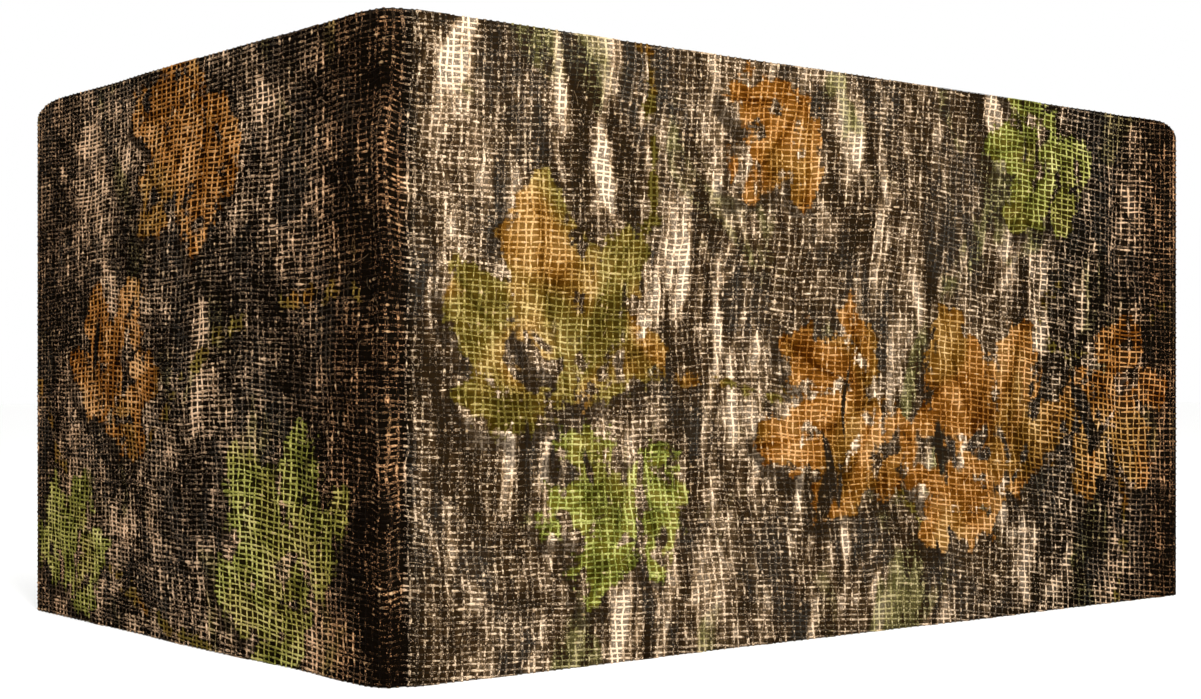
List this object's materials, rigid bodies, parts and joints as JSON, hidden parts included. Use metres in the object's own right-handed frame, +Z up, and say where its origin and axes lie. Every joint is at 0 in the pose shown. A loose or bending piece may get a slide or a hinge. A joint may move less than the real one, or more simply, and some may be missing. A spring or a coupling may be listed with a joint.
{
  "type": "camouflage net",
  "caption": "Cut length of open-weave jute camouflage netting standing upright, bent round a soft corner into a short and a long wing.",
  "frame": {"origin": "middle of the foot of the box that holds the cloth, on the surface it stands on", "axes": "+Z up; +X along the long wing, away from the corner; +Y along the short wing, away from the corner; the outer faces look towards -Y and -X"},
  "size_m": [0.6122, 0.3924, 0.308],
  "materials": {
    "jute_net": "rough printed jute open weave, matt"
  },
  "bodies": {
    "root": {"camo_net": "jute_net"}
  },
  "joints": []
}
